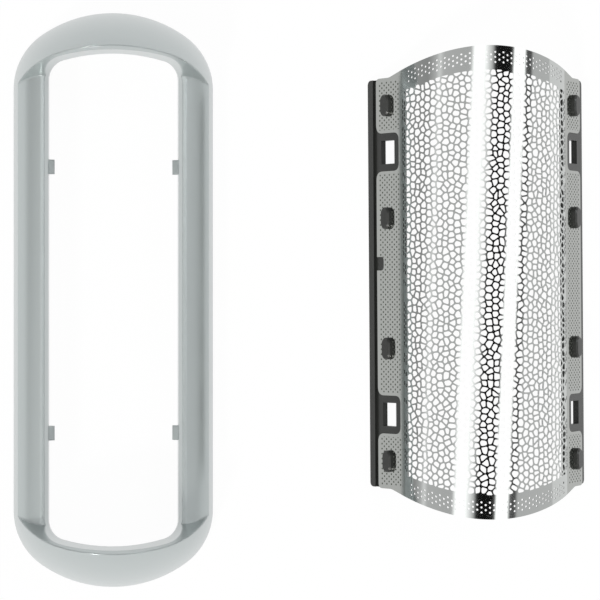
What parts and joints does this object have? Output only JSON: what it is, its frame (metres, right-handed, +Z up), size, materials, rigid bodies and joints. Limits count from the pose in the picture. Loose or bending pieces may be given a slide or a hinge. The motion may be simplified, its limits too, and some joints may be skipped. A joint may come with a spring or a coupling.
{
  "type": "shaver foil head",
  "caption": "Shaver foil head taken apart: an oval silver frame and, beside it, an arched perforated foil on two black carrier strips.",
  "frame": {"origin": "middle of the footprint of the laid-out set, on the table", "axes": "+X from the frame to the foil cartridge, +Y along both, +Z up from the table"},
  "size_m": [0.0566, 0.0564, 0.012],
  "materials": {
    "silver_plastic": "satin silver lacquer",
    "nickel_foil": "bright electroformed nickel",
    "black_plastic": "satin black"
  },
  "bodies": {
    "root": {"frame": "silver_plastic", "shaving_foil": "nickel_foil", "left_carrier": "black_plastic", "right_carrier": "black_plastic"}
  },
  "joints": []
}
